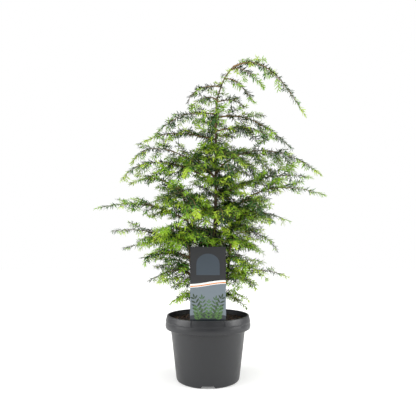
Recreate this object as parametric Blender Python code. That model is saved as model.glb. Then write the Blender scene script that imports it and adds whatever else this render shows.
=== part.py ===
"""Young potted eastern hemlock: a conifer about 0.65 m tall in a round nursery pot.

Metres, +Z up. The origin is on the floor under the middle of the pot, and the
front of the plant, where its label stands, faces -Y.
"""

import math
import random
from typing import NamedTuple

import bmesh
import bpy
from mathutils import Matrix, Vector
from mathutils.bvhtree import BVHTree

GAP = 0.0003                     # clearance kept between neighbouring solids

# Pot
POT_HEIGHT = 0.126
POT_RIM_RADIUS = 0.085           # widest, low on the rim
POT_LIP_RADIUS = 0.0815          # outside, at the top edge
POT_MOUTH_RADIUS = 0.0785
POT_WALL_TOP_RADIUS = 0.0742     # just under the rim
POT_BASE_RADIUS = 0.0622
POT_WALL = 0.0020
POT_RIM_BOTTOM = 0.0990
POT_BAND_BOTTOM = 0.1140         # the rim's upper band ends here
POT_BAND_STEP = 0.0014           # how far that band stands out
POT_EDGE_ROUND = 0.0040          # rounding where the wall meets the underside
POT_FLOOR_TOP = 0.0085
POT_FLOOR_UNDERSIDE = 0.0062
POT_FOOT_INNER_RADIUS = 0.0520   # the foot ring and the flat boss inside it
POT_BOSS_RADIUS = 0.0240
POT_SEGMENTS = 30

RECESS_WIDTH = 0.065             # plain stretch in the front of the upper band
NOTCH_COUNT = 3
NOTCH_FLOOR_WIDTH = 0.029
NOTCH_TOP_WIDTH = 0.021
NOTCH_HEIGHT = 0.0050

# Potting soil
SOIL_TOP = 0.116

# Plant label
LABEL_WIDTH = 0.0658
LABEL_TOP = 0.2597
LABEL_SHOULDER = 0.1185          # bottom corners of the card, just above the soil
LABEL_THICKNESS = 0.0006
LABEL_FACE_Y = -0.0695
LABEL_TONGUE_WIDTH = 0.020
LABEL_TONGUE_DEPTH = 0.030       # how far the tongue stands in the soil

# Trunk and side stems: waypoints (x, y, z) and radii at the foot, above the flare and at the tip
TRUNK_WAY = ((0.006, 0.0, SOIL_TOP + GAP), (0.0068, 0.0, 0.145), (0.010, 0.001, 0.200),
             (0.013, 0.001, 0.270), (0.0160, 0.0, 0.357), (0.0160, -0.001, 0.461),
             (0.0180, 0.0, 0.560), (0.0290, -0.001, 0.599), (0.0395, -0.002, 0.620),
             (0.0520, -0.004, 0.635))
TRUNK_FOOT_RADIUS = 0.0088
TRUNK_RADIUS = 0.0052
TRUNK_TIP_RADIUS = 0.0011
FLARE_HEIGHT = 0.028
TRUNK_SIDES = 8

LEFT_WAY = ((0.0035, -0.0035, 0.140), (-0.014, -0.013, 0.163), (-0.029, -0.023, 0.200),
            (-0.036, -0.029, 0.255), (-0.039, -0.030, 0.305), (-0.046, -0.030, 0.350),
            (-0.052, -0.029, 0.373))
RIGHT_WAY = ((0.010, 0.003, 0.142), (0.024, 0.008, 0.160), (0.037, 0.014, 0.190),
             (0.044, 0.017, 0.240), (0.048, 0.018, 0.300), (0.052, 0.017, 0.345),
             (0.055, 0.016, 0.362))
STEM_RADIUS = 0.0032
STEM_TIP_RADIUS = 0.0014
STEM_SIDES = 6

# Boughs and the sprays of needles on them
BOUGH_SIDES = 4
BOUGH_STEPS = 4
TWIG_RADIUS = 0.0012             # of a spray's main twig where it begins
BOUGH_THICKENING = 0.022         # extra bough radius per square metre of reach squared
HANDLE_SHARE = 0.4               # length of a curve's handles, as a share of its chord
STEM_SHARE = 0.36                # share of a spray's main twig that is plain twig
SPRAY_SINK = 0.06                # how far back into the twig its end blade starts
TWIG_STEPS = 2
NEEDLE_LEAN = 0.72               # how far forward a tooth leans, in tooth pitches
TOOTH_PITCH = 0.0155
END_HALF_WIDTH = 0.0125
SIDE_HALF_WIDTH = 0.0180
VALLEY_HALF_WIDTH = 0.0032
END_THICKNESS = 0.0018
SIDE_THICKNESS = 0.0014
TWIG_SPACING = 0.031             # between side twigs along a main twig
TWIG_ANGLE = math.radians(50)    # between a side twig and its main twig
SHORTEST_TWIG = 0.012
TWIG_SAG = 0.16                  # drop of a side twig's tip, as a share of its length


class Limb(NamedTuple):
    """One bough with its spray, by the place it leaves its parent and the place its tip reaches."""

    parent: str
    height: float       # above the floor, where it leaves its parent
    azimuth: float      # degrees, from +X towards +Y
    reach: float        # level distance from there to its tip
    tip: float          # height of its tip
    rise: float         # degrees above level at its start
    droop: float        # degrees below level at its tip
    bare: float         # share of its length that is a bough without needles
    spread: float       # length of its longest side twigs
    seed: int


LIMBS = {
    "leader": Limb("trunk", 0.635, -14, 0.144, 0.518, 22, 60, 0.0, 0.028, 1),
    "crown_right": Limb("trunk", 0.626, 23, 0.085, 0.606, 50, 40, 0.0, 0.022, 2),
    "crook_right": Limb("trunk", 0.611, -17, 0.064, 0.553, -5, 45, 0.0, 0.018, 3),
    "crown_left": Limb("trunk", 0.594, 187, 0.070, 0.556, 8, 72, 0.0, 0.026, 4),
    "high_right": Limb("trunk", 0.562, -30, 0.059, 0.540, 0, 60, 0.0, 0.022, 5),
    "high_left": Limb("trunk", 0.566, 160, 0.061, 0.553, 45, 60, 0.0, 0.022, 6),
    "left_1": Limb("trunk", 0.535, 175, 0.128, 0.494, 15, 50, 0.0, 0.045, 7),
    "left_2": Limb("trunk", 0.482, 190, 0.146, 0.470, 10, 30, 0.0, 0.052, 8),
    "left_3": Limb("trunk", 0.402, 166, 0.188, 0.442, 42, 62, 0.17, 0.085, 9),
    "left_4": Limb("trunk", 0.392, 192, 0.190, 0.388, 30, 58, 0.16, 0.080, 10),
    "left_5": Limb("left", 0.362, 153, 0.133, 0.395, 45, 18, 0.0, 0.070, 11),
    "left_6": Limb("left", 0.312, 171, 0.192, 0.339, 28, 12, 0.15, 0.066, 12),
    "left_7": Limb("left", 0.265, 174, 0.156, 0.292, 20, 8, 0.0, 0.060, 13),
    "left_8": Limb("trunk", 0.243, 170, 0.194, 0.259, 42, 12, 0.22, 0.062, 14),
    "left_9": Limb("left", 0.238, 206, 0.092, 0.226, 30, 75, 0.0, 0.048, 15),
    "left_10": Limb("left", 0.196, 160, 0.101, 0.191, 55, 25, 0.0, 0.048, 16),
    "left_11": Limb("left", 0.166, 182, 0.060, 0.148, -5, 45, 0.0, 0.022, 17),
    "right_1": Limb("trunk", 0.528, 4, 0.160, 0.466, 16, 42, 0.0, 0.048, 18),
    "right_2": Limb("trunk", 0.500, -25, 0.126, 0.466, 5, 38, 0.0, 0.050, 19),
    "right_3": Limb("trunk", 0.412, -3, 0.213, 0.405, 55, 45, 0.17, 0.088, 20),
    "right_4": Limb("trunk", 0.362, 15, 0.221, 0.415, 28, 6, 0.18, 0.082, 21),
    "right_5": Limb("right", 0.340, -16, 0.186, 0.361, 42, 22, 0.14, 0.082, 22),
    "right_6": Limb("right", 0.312, -22, 0.122, 0.310, 48, 24, 0.0, 0.070, 23),
    "right_7": Limb("right", 0.276, -12, 0.096, 0.253, 55, 62, 0.0, 0.060, 24),
    "right_8": Limb("right", 0.212, 4, 0.128, 0.197, -4, 28, 0.14, 0.040, 25),
    "right_9": Limb("right", 0.164, 16, 0.058, 0.133, 10, 40, 0.0, 0.024, 26),
    "front_1": Limb("trunk", 0.508, 262, 0.090, 0.476, 20, 55, 0.0, 0.044, 27),
    "front_2": Limb("trunk", 0.446, 281, 0.120, 0.374, 25, 65, 0.0, 0.066, 28),
    "front_3": Limb("trunk", 0.398, 240, 0.120, 0.384, 35, 55, 0.0, 0.072, 29),
    "front_4": Limb("left", 0.336, 284, 0.106, 0.309, 35, 62, 0.0, 0.066, 30),
    "front_5": Limb("right", 0.326, 290, 0.128, 0.319, 35, 55, 0.0, 0.072, 31),
    "front_6": Limb("trunk", 0.304, 275, 0.136, 0.297, 35, 60, 0.15, 0.070, 32),
    "front_7": Limb("left", 0.268, 246, 0.100, 0.282, 45, 45, 0.0, 0.062, 33),
    "front_8": Limb("right", 0.246, 272, 0.112, 0.258, 45, 45, 0.0, 0.066, 34),
    "back_1": Limb("trunk", 0.520, 96, 0.110, 0.486, 20, 45, 0.0, 0.048, 35),
    "back_2": Limb("trunk", 0.452, 46, 0.148, 0.416, 25, 45, 0.0, 0.068, 36),
    "back_3": Limb("trunk", 0.432, 122, 0.165, 0.424, 35, 50, 0.0, 0.076, 37),
    "back_4": Limb("trunk", 0.380, 82, 0.188, 0.386, 38, 45, 0.16, 0.084, 38),
    "back_5": Limb("left", 0.352, 112, 0.155, 0.350, 38, 42, 0.0, 0.076, 39),
    "back_6": Limb("right", 0.300, 52, 0.165, 0.322, 35, 30, 0.0, 0.078, 40),
    "back_7": Limb("trunk", 0.272, 100, 0.168, 0.278, 35, 30, 0.15, 0.076, 41),
    "back_8": Limb("right", 0.192, 52, 0.118, 0.166, 15, 35, 0.0, 0.056, 42),
    "back_9": Limb("left", 0.205, 136, 0.105, 0.196, 22, 35, 0.0, 0.054, 43),
}

COLOURS = {
    "pot": ((0.058, 0.060, 0.068), 0.42),
    "soil": ((0.022, 0.014, 0.010), 0.95),
    "label": ((0.040, 0.045, 0.055), 0.35),
    "bark": ((0.165, 0.080, 0.035), 0.85),
    "needles": ((0.085, 0.220, 0.030), 0.60),
}


def clear_scene():
    for thing in list(bpy.data.objects):
        bpy.data.objects.remove(thing, do_unlink=True)


def material(name):
    """Principled material of one part of the plant, made once."""
    known = bpy.data.materials.get(name)
    if known:
        return known
    colour, roughness = COLOURS[name]
    made = bpy.data.materials.new(name)
    made.use_nodes = True
    shader = made.node_tree.nodes["Principled BSDF"]
    shader.inputs["Base Color"].default_value = (*colour, 1.0)
    shader.inputs["Roughness"].default_value = roughness
    shader.inputs["Metallic"].default_value = 0.0
    return made


def make_object(name, vertices, faces, finish=None, smooth_below=None):
    """Closed mesh object from vertices and faces, its faces turned outwards."""
    mesh = bpy.data.meshes.new(name)
    mesh.from_pydata([tuple(v) for v in vertices], [], faces)
    bm = bmesh.new()
    bm.from_mesh(mesh)
    bmesh.ops.recalc_face_normals(bm, faces=bm.faces)
    bm.to_mesh(mesh)
    bm.free()
    if smooth_below is not None:
        mesh.shade_smooth()
        mesh.set_sharp_from_angle(angle=math.radians(smooth_below))
    thing = bpy.data.objects.new(name, mesh)
    bpy.context.scene.collection.objects.link(thing)
    if finish:
        mesh.materials.append(material(finish))
    return thing


def turned(profile, segments):
    """Vertices and faces of a profile of (radius, height) spun about Z, with its ends on the axis."""
    bm = bmesh.new()
    points = [bm.verts.new((radius, 0.0, height)) for radius, height in profile]
    edges = [bm.edges.new(pair) for pair in zip(points, points[1:])]
    bmesh.ops.spin(bm, geom=points + edges, cent=(0, 0, 0), axis=(0, 0, 1),
                   angle=math.tau, steps=segments, use_merge=True)
    bmesh.ops.remove_doubles(bm, verts=bm.verts, dist=1e-5)
    bm.verts.index_update()
    vertices = [vertex.co.copy() for vertex in bm.verts]
    faces = [[vertex.index for vertex in face.verts] for face in bm.faces]
    bm.free()
    return vertices, faces


def prism(outline, low, high):
    """Vertices and faces of an outline in X and Y carried from one height to another."""
    count = len(outline)
    vertices = [(x, y, low) for x, y in outline] + [(x, y, high) for x, y in outline]
    sides = [(i, (i + 1) % count, count + (i + 1) % count, count + i) for i in range(count)]
    return vertices, sides + [tuple(range(count)), tuple(range(count, 2 * count))]


def cut(thing, cutter):
    """Take a hidden cutter's shape away from an object."""
    cutter.hide_render = True
    cutter.display_type = "WIRE"
    modifier = thing.modifiers.new("cut " + cutter.name, "BOOLEAN")
    modifier.operation = "DIFFERENCE"
    modifier.solver = "EXACT"
    modifier.object = cutter


def wall_radius(height):
    """Outer radius of the tapering wall at a height."""
    share = height / POT_RIM_BOTTOM
    return POT_BASE_RADIUS + (POT_WALL_TOP_RADIUS - POT_BASE_RADIUS) * share


def pot_inside(clearance):
    """Profile of the pot's inside from its floor to its mouth, drawn in by a clearance."""
    knee = POT_RIM_BOTTOM + POT_WALL
    return [
        (wall_radius(POT_FLOOR_TOP) - POT_WALL - clearance, POT_FLOOR_TOP + clearance),
        (wall_radius(POT_RIM_BOTTOM) - POT_WALL - clearance, knee + clearance),
        (POT_MOUTH_RADIUS - clearance, knee + 2 * POT_WALL + clearance),
    ]


def build_pot():
    """Pot with a flared rim, a foot ring with drain notches and a plain stretch in its upper band."""
    inside = pot_inside(0.0)
    bead = 0.0008
    profile = [
        (0.0, POT_FLOOR_TOP),
        *inside,
        (POT_MOUTH_RADIUS, POT_HEIGHT - 2 * bead),
        (POT_MOUTH_RADIUS + bead, POT_HEIGHT),
        (POT_LIP_RADIUS - bead, POT_HEIGHT),
        (POT_LIP_RADIUS, POT_HEIGHT - bead),
        (POT_RIM_RADIUS - POT_BAND_STEP + bead, POT_BAND_BOTTOM + bead),
        (POT_RIM_RADIUS - POT_BAND_STEP, POT_BAND_BOTTOM),
        (POT_RIM_RADIUS, POT_BAND_BOTTOM - 8 * bead),
        (POT_RIM_RADIUS - bead, POT_RIM_BOTTOM + 3 * bead),
        (POT_RIM_RADIUS - 5 * bead, POT_RIM_BOTTOM),
        (POT_WALL_TOP_RADIUS, POT_RIM_BOTTOM),
        (wall_radius(POT_EDGE_ROUND), POT_EDGE_ROUND),
        (POT_BASE_RADIUS - POT_EDGE_ROUND / 4, POT_EDGE_ROUND / 4),
        (POT_BASE_RADIUS - POT_EDGE_ROUND, 0.0),
        (POT_FOOT_INNER_RADIUS, 0.0),
        (POT_FOOT_INNER_RADIUS, POT_FLOOR_UNDERSIDE),
        (POT_BOSS_RADIUS, POT_FLOOR_UNDERSIDE),
        (POT_BOSS_RADIUS, 0.0),
        (0.0, 0.0),
    ]
    pot = make_object("pot", *turned(profile, POT_SEGMENTS), "pot", 35)

    half = math.asin(RECESS_WIDTH / 2 / POT_RIM_RADIUS)
    arc_steps = 12
    angles = [-math.pi / 2 - half + 2 * half * i / arc_steps for i in range(arc_steps + 1)]
    inner = POT_LIP_RADIUS - 2 * POT_BAND_STEP / 3
    outer = POT_RIM_RADIUS + POT_WALL
    outline = [(inner * math.cos(a), inner * math.sin(a)) for a in angles]
    outline += [(outer * math.cos(a), outer * math.sin(a)) for a in reversed(angles)]
    recess = make_object("recess_cutter", *prism(outline, POT_BAND_BOTTOM, POT_HEIGHT + POT_WALL))
    cut(pot, recess)

    for index in range(NOTCH_COUNT):
        notch = build_notch_cutter()
        notch.rotation_euler.z = math.tau * index / NOTCH_COUNT
        cut(pot, notch)
    return pot


def build_notch_cutter():
    """Trapezoid bar across the foot ring, at the front before it is turned."""
    below = POT_WALL
    slope = (NOTCH_FLOOR_WIDTH - NOTCH_TOP_WIDTH) / 2 / NOTCH_HEIGHT
    low_half = NOTCH_FLOOR_WIDTH / 2 + slope * below
    high_half = NOTCH_TOP_WIDTH / 2
    near = -POT_BASE_RADIUS - POT_WALL
    far = -POT_FOOT_INNER_RADIUS + POT_WALL
    section = ((-low_half, -below), (low_half, -below), (high_half, NOTCH_HEIGHT),
               (-high_half, NOTCH_HEIGHT))
    vertices = [(x, y, z) for y in (near, far) for x, z in section]
    faces = [(0, 1, 2, 3), (4, 5, 6, 7), (0, 1, 5, 4), (1, 2, 6, 5), (2, 3, 7, 6), (3, 0, 4, 7)]
    return make_object("notch_cutter", vertices, faces)


def build_soil():
    """Potting soil up to a finger's breadth below the rim, with a slot for the label's tongue."""
    inside = pot_inside(GAP)
    profile = [(0.0, inside[0][1]), *inside, (inside[2][0], SOIL_TOP), (0.0, SOIL_TOP)]
    soil = make_object("soil", *turned(profile, POT_SEGMENTS), "soil", 35)
    half = LABEL_TONGUE_WIDTH / 2 + GAP
    near = LABEL_FACE_Y - GAP
    far = LABEL_FACE_Y + LABEL_THICKNESS + GAP
    slot_outline = ((-half, near), (half, near), (half, far), (-half, far))
    slot_floor = SOIL_TOP - LABEL_TONGUE_DEPTH - GAP
    cut(soil, make_object("slot_cutter", *prism(slot_outline, slot_floor, LABEL_TOP)))
    return soil


def build_label():
    """Thin card on a narrow tongue, upright at the front of the pot."""
    half = LABEL_WIDTH / 2
    tongue = LABEL_TONGUE_WIDTH / 2
    foot = SOIL_TOP - LABEL_TONGUE_DEPTH
    outline = [(-half, LABEL_TOP), (-half, LABEL_SHOULDER), (-tongue, LABEL_SHOULDER),
               (-tongue / 2, foot), (tongue / 2, foot), (tongue, LABEL_SHOULDER),
               (half, LABEL_SHOULDER), (half, LABEL_TOP)]
    vertices, faces = prism(outline, 0.0, LABEL_THICKNESS)
    upright = Matrix.Translation((0, LABEL_FACE_Y + LABEL_THICKNESS, 0)) @ Matrix.Rotation(math.pi / 2, 4, "X")
    return make_object("label", [upright @ Vector(v) for v in vertices], faces, "label")


def bezier(handles, share):
    """Point at a share of the way along a cubic curve."""
    rest = 1.0 - share
    weights = (rest ** 3, 3 * rest ** 2 * share, 3 * rest * share ** 2, share ** 3)
    return sum((handle * weight for handle, weight in zip(handles, weights)), Vector())


def course(handles):
    """A curve as a function from a share of its way to a point."""
    return lambda share: bezier(handles, share)


def heading(path, share):
    """Unit direction of a path at a share of its way."""
    step = 0.01
    return (path(min(share + step, 1.0)) - path(max(share - step, 0.0))).normalized()


def way_path(way):
    """Smooth path through waypoints, as a function of height."""
    points = [Vector(point) for point in way]

    def at_height(height):
        index = 0
        while index < len(points) - 2 and points[index + 1].z < height:
            index += 1
        before = points[max(index - 1, 0)]
        start, end = points[index], points[index + 1]
        after = points[min(index + 2, len(points) - 1)]
        share = min(max((height - start.z) / (end.z - start.z), 0.0), 1.0)
        in_slope = (end - before) * ((end.z - start.z) / (end.z - before.z))
        out_slope = (after - start) * ((end.z - start.z) / (after.z - start.z))
        return (start * (2 * share ** 3 - 3 * share ** 2 + 1) + end * (3 * share ** 2 - 2 * share ** 3)
                + in_slope * (share ** 3 - 2 * share ** 2 + share) + out_slope * (share ** 3 - share ** 2))

    return at_height


def tube(points, headings, radii, sides, reference):
    """Vertices and faces of a closed tapering tube with flat ends."""
    vertices = []
    for point, ahead, radius in zip(points, headings, radii):
        across = reference.cross(ahead).normalized()
        up = ahead.cross(across)
        for corner in range(sides):
            angle = math.tau * corner / sides
            vertices.append(point + across * (radius * math.cos(angle)) + up * (radius * math.sin(angle)))
    faces = [tuple(range(sides))]
    for ring in range(len(points) - 1):
        low = ring * sides
        for corner in range(sides):
            other = (corner + 1) % sides
            faces.append((low + corner, low + other, low + sides + other, low + sides + corner))
    last = (len(points) - 1) * sides
    faces.append(tuple(range(last, last + sides)))
    return vertices, faces


def build_trunk():
    """Trunk from its flat cut on the soil, through its flare and lean, to its tip."""
    path = way_path(TRUNK_WAY)
    foot, tip = TRUNK_WAY[0][2], TRUNK_WAY[-1][2]
    heights = [foot, foot + FLARE_HEIGHT / 3, foot + FLARE_HEIGHT]
    for low, high in zip(TRUNK_WAY[1:], TRUNK_WAY[2:]):
        heights += [(low[2] + high[2]) / 2, high[2]]
    points, headings, radii = [], [], []
    for height in heights:
        points.append(path(height))
        ahead = (path(min(height + 0.004, tip)) - path(max(height - 0.004, foot))).normalized()
        headings.append(Vector((0, 0, 1)) if height == foot else ahead)
        radii.append(trunk_radius(height))
    return make_object("trunk", *tube(points, headings, radii, TRUNK_SIDES, Vector((0, 1, 0))), "bark", 40)


def trunk_radius(height):
    """Radius of the trunk at a height: an even taper, and a flare at the foot."""
    foot, tip = TRUNK_WAY[0][2], TRUNK_WAY[-1][2]
    share = (height - foot) / (tip - foot)
    flare = max(0.0, 1 - (height - foot) / FLARE_HEIGHT) ** 2
    return TRUNK_RADIUS + (TRUNK_TIP_RADIUS - TRUNK_RADIUS) * share + (TRUNK_FOOT_RADIUS - TRUNK_RADIUS) * flare


def stem_radius(way, height):
    share = (height - way[0][2]) / (way[-1][2] - way[0][2])
    return STEM_RADIUS + (STEM_TIP_RADIUS - STEM_RADIUS) * share


def build_side_stem(name, way, trunk_tree):
    """Side stem that forks off the trunk low down, its root seated just clear of the bark."""
    path = way_path(way)
    low, high = way[0][2], way[-1][2]
    steps = 6

    def ring(height):
        ahead = (path(min(height + 0.004, high)) - path(max(height - 0.004, low))).normalized()
        return path(height), ahead, stem_radius(way, height)

    while clearance(ring(low), trunk_tree) < GAP:
        low += GAP / 3
    rings = [ring(low + (high - low) * i / steps) for i in range(steps + 1)]
    return make_object(name, *tube(*zip(*rings), STEM_SIDES, Vector((0, 1, 0))), "bark", 40)


def clearance(ring, tree):
    """Least distance from the rim of a round end to a solid, taken as negative inside it."""
    point, ahead, radius = ring
    across = ahead.orthogonal().normalized()
    up = ahead.cross(across)
    least = math.inf
    for corner in range(12):
        angle = math.tau * corner / 12
        rim = point + across * (radius * math.cos(angle)) + up * (radius * math.sin(angle))
        nearest, normal, _, distance = tree.find_nearest(rim)
        outside = (rim - nearest).dot(normal) > 0
        least = min(least, distance if outside else -distance)
    return least


def limb_handles(limb, start):
    """Handles of a limb's curve from the place it leaves its parent to its tip."""
    azimuth = math.radians(limb.azimuth)
    outward = Vector((math.cos(azimuth), math.sin(azimuth), 0.0))
    end = Vector((start.x, start.y, limb.tip)) + outward * limb.reach
    handle = (end - start).length * HANDLE_SHARE
    rise, droop = math.radians(limb.rise), math.radians(limb.droop)
    leaving = outward * math.cos(rise) + Vector((0, 0, math.sin(rise)))
    arriving = outward * math.cos(droop) - Vector((0, 0, math.sin(droop)))
    return start, start + leaving * handle, end - arriving * handle, end


def bough_radius(limb):
    return TWIG_RADIUS + BOUGH_THICKENING * limb.reach ** 2


def seat_share(path, radius, tree):
    """Share of the way beyond which a limb's flat end stands clear of its parent."""
    share = 0.25
    step = 0.0005
    while share > step and clearance((path(share), heading(path, share), radius), tree) > GAP:
        share -= step
    return share + step


def spray(path, start, end, roll, half_width, thickness, teeth, margin=0.0):
    """Vertices and faces of a toothed blade with a ridge along its twig, from share to share.

    The teeth are sprays of needles that lean forward on both sides. A margin
    makes the blade that much larger all round, for trying where it fits.
    """
    def place(station, offset, rise):
        share = start + (end - start) * station / teeth
        ahead = heading(path, min(share, 1.0))
        level = Vector((0, 0, 1)).cross(ahead).normalized()
        across = Matrix.Rotation(roll, 3, ahead) @ level
        return path(min(share, 1.0)) + across * offset + ahead.cross(across) * rise

    half_thickness = thickness / 2 + margin
    valley = VALLEY_HALF_WIDTH + margin
    ridge_stations = [0] + list(range(1, teeth, 2))
    ridge = []
    for station in ridge_stations:
        taper = 1.0 - 0.4 * station / teeth
        ridge.append(place(station, 0.0, half_thickness * taper))
        ridge.append(place(station, 0.0, -half_thickness * taper))
    chains = []
    for side in (1, -1):
        chain = [place(0, side * valley, 0.0)]
        for tooth in range(teeth):
            width = half_width * (1.0 - 0.45 * tooth / teeth) * (0.9 if tooth % 2 else 1.0)
            chain.append(place(tooth + NEEDLE_LEAN, side * (width + margin), 0.0))
            if tooth < teeth - 1:
                chain.append(place(tooth + 1, side * valley * (1.0 - 0.5 * tooth / teeth), 0.0))
        chains.append(chain)
    tip = path(min(end, 1.0)) + heading(path, min(end, 1.0)) * margin
    vertices = ridge + chains[0] + chains[1] + [tip]
    first = (len(ridge), len(ridge) + len(chains[0]))
    last = len(vertices) - 1

    faces = [(0, first[0], 1, first[1])]
    for side in (0, 1):
        def edge_point(index):
            return last if index >= 2 * teeth else first[side] + index
        for face in (0, 1):
            faces.append((face, 2 + face, edge_point(0)))
            for block in range(teeth // 2):
                middle = 2 * (block + 1) + face
                for index in range(4 * block, 4 * block + 4):
                    faces.append((middle, edge_point(index), edge_point(index + 1)))
                if block + 1 < teeth // 2:
                    faces.append((middle, edge_point(4 * block + 4), middle + 2))
    return vertices, faces


def main_twig(limb, path, start):
    """Plain lower part of a spray's main twig, and the blade that ends it."""
    end = start + (1.0 - start) * STEM_SHARE
    shares = [start + (end - start) * i / TWIG_STEPS for i in range(TWIG_STEPS + 1)]
    radii = [TWIG_RADIUS * (1.0 - 0.45 * i / TWIG_STEPS) for i in range(TWIG_STEPS + 1)]
    points = [path(share) for share in shares]
    headings = [heading(path, share) for share in shares]
    stem = tube(points, headings, radii, 3, Vector((0, 0, 1)))
    length = (path(1.0) - path(end)).length
    teeth = max(2, 2 * round(length / TOOTH_PITCH / 2))
    roll = math.radians(55 if limb.seed % 2 else -55)
    return stem, spray(path, end - SPRAY_SINK, 1.0, roll, END_HALF_WIDTH, END_THICKNESS, teeth)


def side_twigs(limb, path, start):
    """Curves of the side twigs, by a rule that is the same for every limb and a seed of its own."""
    rng = random.Random(limb.seed)
    length = (path(1.0) - path(start)).length
    count = max(2, round(length / TWIG_SPACING))
    twigs = []
    for index in range(count):
        share = start + (1.0 - start) * (0.03 + 0.64 * (index + rng.uniform(0.1, 0.8)) / count)
        side = 1 if (index + limb.seed) % 2 else -1
        size = (limb.spread * (1.0 - share) + SHORTEST_TWIG) * rng.uniform(0.8, 1.1)
        tilt = rng.uniform(-0.85, 0.85)
        roll = rng.uniform(0.65, 1.15) * rng.choice((1, -1))
        root = path(share)
        ahead = heading(path, share)
        level = Vector((0, 0, 1)).cross(ahead).normalized()
        across = Matrix.Rotation(tilt * side, 3, ahead) @ level * side
        leaving = ahead * math.cos(TWIG_ANGLE) + across * math.sin(TWIG_ANGLE)
        sag = Vector((0, 0, -TWIG_SAG * size))
        handles = (root, root + leaving * size / 3, root + leaving * size * 2 / 3 + sag / 3,
                   root + leaving * size + sag)
        twigs.append((course(handles), size, roll))
    return twigs


def tree_of(piece):
    return BVHTree.FromPolygons([tuple(v) for v in piece[0]], piece[1])


def join(name, pieces):
    """One closed solid from overlapping pieces, by a single Boolean union."""
    parts = [make_object(name + "_piece", *piece) for piece in pieces]
    group = bpy.data.collections.new(name + "_pieces")
    for part in parts[1:]:
        group.objects.link(part)
    union = parts[0].modifiers.new("union", "BOOLEAN")
    union.operation = "UNION"
    union.solver = "MANIFOLD"
    union.operand_type = "COLLECTION"
    union.collection = group
    graph = bpy.context.evaluated_depsgraph_get()
    mesh = bpy.data.meshes.new_from_object(parts[0].evaluated_get(graph))
    for part in parts:
        bpy.data.objects.remove(part, do_unlink=True)
    bpy.data.collections.remove(group)
    keep_largest(mesh)
    mesh.name = name
    mesh.materials.clear()
    mesh.materials.append(material("needles"))
    joined = bpy.data.objects.new(name, mesh)
    bpy.context.scene.collection.objects.link(joined)
    return joined


def keep_largest(mesh):
    """Drop loose scraps and sealed hollows: only the largest connected shell stays."""
    bm = bmesh.new()
    bm.from_mesh(mesh)
    bmesh.ops.triangulate(bm, faces=bm.faces)
    unseen = set(bm.verts)
    shells = []
    while unseen:
        shell, front = set(), [unseen.pop()]
        while front:
            vertex = front.pop()
            shell.add(vertex)
            for edge in vertex.link_edges:
                other = edge.other_vert(vertex)
                if other in unseen:
                    unseen.discard(other)
                    front.append(other)
        shells.append(shell)
    shells.sort(key=len)
    for shell in shells[:-1]:
        bmesh.ops.delete(bm, geom=list(shell), context="VERTS")
    bm.to_mesh(mesh)
    bm.free()


def build_limbs(parents):
    """Boughs, then every spray's main twig, then side twigs wherever they stay clear of the rest."""
    ways = {"trunk": way_path(TRUNK_WAY), "left": way_path(LEFT_WAY), "right": way_path(RIGHT_WAY)}
    solids = [(name, tree) for name, tree in parents.items()]
    paths, pieces = {}, {}
    for name, limb in LIMBS.items():
        path = course(limb_handles(limb, ways[limb.parent](limb.height)))
        start = seat_share(path, bough_radius(limb) if limb.bare else TWIG_RADIUS, parents[limb.parent])
        if limb.bare:
            shares = [start + (limb.bare - start) * i / BOUGH_STEPS for i in range(BOUGH_STEPS + 1)]
            thick = bough_radius(limb)
            radii = [thick + (TWIG_RADIUS - thick) * i / BOUGH_STEPS for i in range(BOUGH_STEPS + 1)]
            bough = tube([path(s) for s in shares], [heading(path, s) for s in shares], radii,
                         BOUGH_SIDES, Vector((0, 0, 1)))
            make_object("bough_" + name, *bough, "bark", 40)
            solids.append((name, tree_of(bough)))
            start = limb.bare + GAP / (path(1.0) - path(0.0)).length
        paths[name] = (path, start)
        pieces[name] = list(main_twig(limb, path, start))
    solids += [(name, tree_of(piece)) for name, group in pieces.items() for piece in group]
    for name, limb in LIMBS.items():
        for path, size, roll in side_twigs(limb, *paths[name]):
            teeth = 2 if size < 2.2 * TOOTH_PITCH else 4
            shape = (path, 0.0, 1.0, roll, min(SIDE_HALF_WIDTH, size / 2.6), SIDE_THICKNESS, teeth)
            trial = tree_of(spray(*shape, margin=GAP))
            if any(trial.overlap(tree) for owner, tree in solids if owner != name):
                continue
            twig = spray(*shape)
            pieces[name].append(twig)
            solids.append((name, tree_of(twig)))
    for name, group in pieces.items():
        join("foliage_" + name, group)


def evaluated_tree(thing):
    return BVHTree.FromObject(thing, bpy.context.evaluated_depsgraph_get())


clear_scene()
pot = build_pot()
soil = build_soil()
label = build_label()
trunk = build_trunk()
trunk_tree = evaluated_tree(trunk)
left_stem = build_side_stem("stem_left", LEFT_WAY, trunk_tree)
right_stem = build_side_stem("stem_right", RIGHT_WAY, trunk_tree)
build_limbs({
    "trunk": trunk_tree,
    "left": evaluated_tree(left_stem),
    "right": evaluated_tree(right_stem),
    "pot": evaluated_tree(pot),
    "soil": evaluated_tree(soil),
    "label": evaluated_tree(label),
})
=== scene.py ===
"""Looks of a young potted eastern hemlock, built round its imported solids."""
import math
import random

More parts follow.
